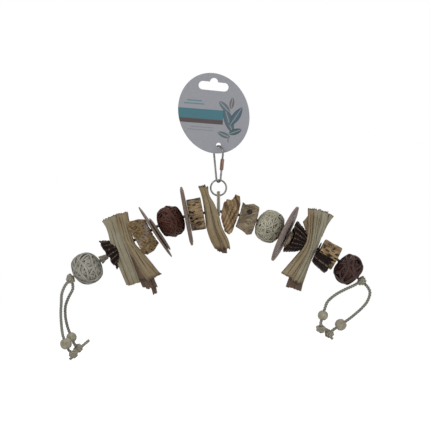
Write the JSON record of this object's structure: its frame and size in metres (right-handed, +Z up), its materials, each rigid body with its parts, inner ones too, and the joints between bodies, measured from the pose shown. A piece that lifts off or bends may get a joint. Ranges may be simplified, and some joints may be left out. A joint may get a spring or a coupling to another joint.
{
  "type": "bird swing",
  "caption": "Hanging garland toy for a cage bird: woven vine balls, wood slices, husk bundles, bark and seed cups on an arched core, with beaded cord ends, a ring, a quick link and a card tag.",
  "frame": {"origin": "centre of the round top of the tag's hang slot", "axes": "+X to the right along the garland, +Z up, -Y towards the front of the tag"},
  "size_m": [0.3123, 0.06, 0.2876],
  "materials": {
    "card": "coated print, satin",
    "bright_wire": "plated wire",
    "sleeve_metal": "threaded sleeve, slightly tarnished",
    "core_wire": "coated wire",
    "cord": "twisted cotton cord",
    "pale_vine": "peeled vine strips",
    "brown_vine": "dark vine strips",
    "pod": "dried seed cup, slightly glossy",
    "husk": "dried husk leaf",
    "dry_leaf": "dried brown leaf",
    "slice_wood": "sawn, unfinished",
    "bark": "cork bark",
    "block_wood": "weathered wood",
    "cactus_wood": "dried cactus wood",
    "bead_wood": "turned, unfinished"
  },
  "bodies": {
    "tag": {"tag": "card"},
    "link": {"quick_link": "bright_wire"},
    "sleeve": {"link_nut": "sleeve_metal"},
    "ring": {"ring": "bright_wire"},
    "garland": {"core": "core_wire", "hanger_loop": "cord", "left_end_knot": "cord", "right_end_knot": "cord", "cord_stub": "cord", "left_outer_cord": "cord", "left_inner_cord": "cord", "right_inner_cord": "cord", "right_outer_cord": "cord", "left_outer_knot": "cord", "left_inner_knot": "cord", "right_inner_knot": "cord", "right_outer_knot": "cord"},
    "centre_husk": {"centre_husk": "husk"},
    "cactus_log": {"cactus_log": "cactus_wood"},
    "left_slice": {"left_slice": "slice_wood"},
    "left_brown_ball": {"left_brown_ball": "brown_vine"},
    "inner_thin_slice": {"inner_thin_slice": "slice_wood"},
    "outer_thin_slice": {"outer_thin_slice": "slice_wood"},
    "bark_chunk": {"bark_chunk": "bark"},
    "left_husk": {"left_husk": "husk"},
    "left_cup": {"left_cup": "pod"},
    "left_pale_ball": {"left_pale_ball": "pale_vine"},
    "leaf_bundle": {"leaf_bundle": "dry_leaf"},
    "wood_block": {"wood_block": "block_wood"},
    "right_pale_ball": {"right_pale_ball": "pale_vine"},
    "right_slice": {"right_slice": "slice_wood"},
    "spacer_disc": {"spacer_disc": "slice_wood"},
    "right_cup": {"right_cup": "pod"},
    "right_husk": {"right_husk": "husk"},
    "broken_cup": {"broken_cup": "pod"},
    "cactus_tube": {"cactus_tube": "cactus_wood"},
    "right_brown_ball": {"right_brown_ball": "brown_vine"},
    "left_outer_bead": {"left_outer_bead": "bead_wood"},
    "left_inner_bead": {"left_inner_bead": "bead_wood"},
    "right_inner_bead": {"right_inner_bead": "bead_wood"},
    "right_outer_bead": {"right_outer_bead": "bead_wood"}
  },
  "joints": [
    {"name": "link_swing", "type": "hinge", "parent": "tag", "child": "link", "pos_m": [0.0045, 0, -0.072], "axis": [0.8387, 0.5446, 0], "range_deg": [-20, 20]},
    {"name": "sleeve_travel", "type": "slide", "parent": "link", "child": "sleeve", "axis": [-0.0908, 0.1398, -0.986], "range_m": [0, 0.006]},
    {"name": "ring_slide", "type": "hinge", "parent": "link", "child": "ring", "pos_m": [0.0045, 0, -0.10575], "axis": [0, 1, 0], "range_deg": [-25, 25]},
    {"name": "garland_swing", "type": "hinge", "parent": "ring", "child": "garland", "pos_m": [0.0045, 0, -0.11355], "axis": [1, 0, 0], "range_deg": [-60, 60]},
    {"name": "centre_husk_spin", "type": "hinge", "parent": "garland", "child": "centre_husk", "pos_m": [-0.00466, 0, -0.13027], "axis": [-0.9934, 0, -0.1149], "range_deg": [-25, 25]},
    {"name": "cactus_log_spin", "type": "hinge", "parent": "garland", "child": "cactus_log", "pos_m": [-0.01823, 0, -0.13239], "axis": [-0.9823, 0, -0.1874], "continuous": true},
    {"name": "left_slice_spin", "type": "hinge", "parent": "garland", "child": "left_slice", "pos_m": [-0.02736, 0, -0.13413], "axis": [-0.9823, 0, -0.1874], "continuous": true},
    {"name": "left_brown_ball_spin", "type": "hinge", "parent": "garland", "child": "left_brown_ball", "pos_m": [-0.04314, 0, -0.13934], "axis": [-0.9409, 0, -0.3387], "continuous": true},
    {"name": "inner_thin_slice_spin", "type": "hinge", "parent": "garland", "child": "inner_thin_slice", "pos_m": [-0.05846, 0, -0.14546], "axis": [-0.8329, 0, -0.5534], "continuous": true},
    {"name": "outer_thin_slice_spin", "type": "hinge", "parent": "garland", "child": "outer_thin_slice", "pos_m": [-0.06071, 0, -0.14695], "axis": [-0.8329, 0, -0.5534], "continuous": true},
    {"name": "bark_chunk_spin", "type": "hinge", "parent": "garland", "child": "bark_chunk", "pos_m": [-0.07091, 0, -0.1531], "axis": [-0.8607, 0, -0.509], "continuous": true},
    {"name": "left_husk_spin", "type": "hinge", "parent": "garland", "child": "left_husk", "pos_m": [-0.0863, 0, -0.16196], "axis": [-0.8738, 0, -0.4863], "continuous": true},
    {"name": "left_cup_spin", "type": "hinge", "parent": "garland", "child": "left_cup", "pos_m": [-0.09974, 0, -0.16991], "axis": [-0.8471, 0, -0.5314], "continuous": true},
    {"name": "left_pale_ball_spin", "type": "hinge", "parent": "garland", "child": "left_pale_ball", "pos_m": [-0.12698, 0, -0.18651], "axis": [-0.8581, 0, -0.5135], "continuous": true},
    {"name": "leaf_bundle_spin", "type": "hinge", "parent": "garland", "child": "leaf_bundle", "pos_m": [0.01599, 0, -0.13122], "axis": [0.9813, 0, -0.1925], "range_deg": [-45, 45]},
    {"name": "wood_block_spin", "type": "hinge", "parent": "garland", "child": "wood_block", "pos_m": [0.0339, 0, -0.13563], "axis": [0.9588, 0, -0.284], "continuous": true},
    {"name": "right_pale_ball_spin", "type": "hinge", "parent": "garland", "child": "right_pale_ball", "pos_m": [0.05573, 0, -0.14442], "axis": [0.9026, 0, -0.4305], "continuous": true},
    {"name": "right_slice_spin", "type": "hinge", "parent": "garland", "child": "right_slice", "pos_m": [0.07112, 0, -0.15176], "axis": [0.9026, 0, -0.4305], "continuous": true},
    {"name": "spacer_disc_spin", "type": "hinge", "parent": "garland", "child": "spacer_disc", "pos_m": [0.0765, 0, -0.1543], "axis": [0.907, 0, -0.421], "continuous": true},
    {"name": "right_cup_spin", "type": "hinge", "parent": "garland", "child": "right_cup", "pos_m": [0.08563, 0, -0.15858], "axis": [0.9048, 0, -0.4258], "continuous": true},
    {"name": "right_husk_spin", "type": "hinge", "parent": "garland", "child": "right_husk", "pos_m": [0.09788, 0, -0.16435], "axis": [0.9048, 0, -0.4258], "continuous": true},
    {"name": "broken_cup_spin", "type": "hinge", "parent": "garland", "child": "broken_cup", "pos_m": [0.10489, 0, -0.16768], "axis": [0.898, 0, -0.4399], "continuous": true},
    {"name": "cactus_tube_spin", "type": "hinge", "parent": "garland", "child": "cactus_tube", "pos_m": [0.1149, 0, -0.17302], "axis": [0.8788, 0, -0.4772], "continuous": true},
    {"name": "right_brown_ball_spin", "type": "hinge", "parent": "garland", "child": "right_brown_ball", "pos_m": [0.13434, 0, -0.18734], "axis": [0.7431, 0, -0.6691], "continuous": true},
    {"name": "left_outer_bead_spin", "type": "hinge", "parent": "garland", "child": "left_outer_bead", "pos_m": [-0.14775, -0.00375, -0.2615], "axis": [0.3783, -0.042, -0.9247], "continuous": true},
    {"name": "left_inner_bead_spin", "type": "hinge", "parent": "garland", "child": "left_inner_bead", "pos_m": [-0.143, 0.0075, -0.25575], "axis": [0.3704, 0.0741, -0.9259], "continuous": true},
    {"name": "right_inner_bead_spin", "type": "hinge", "parent": "garland", "child": "right_inner_bead", "pos_m": [0.1085, -0.007, -0.233], "axis": [-0.2747, 0, -0.9615], "continuous": true},
    {"name": "right_outer_bead_spin", "type": "hinge", "parent": "garland", "child": "right_outer_bead", "pos_m": [0.12675, 0.001, -0.24275], "axis": [-0.8269, 0, -0.5623], "continuous": true}
  ]
}
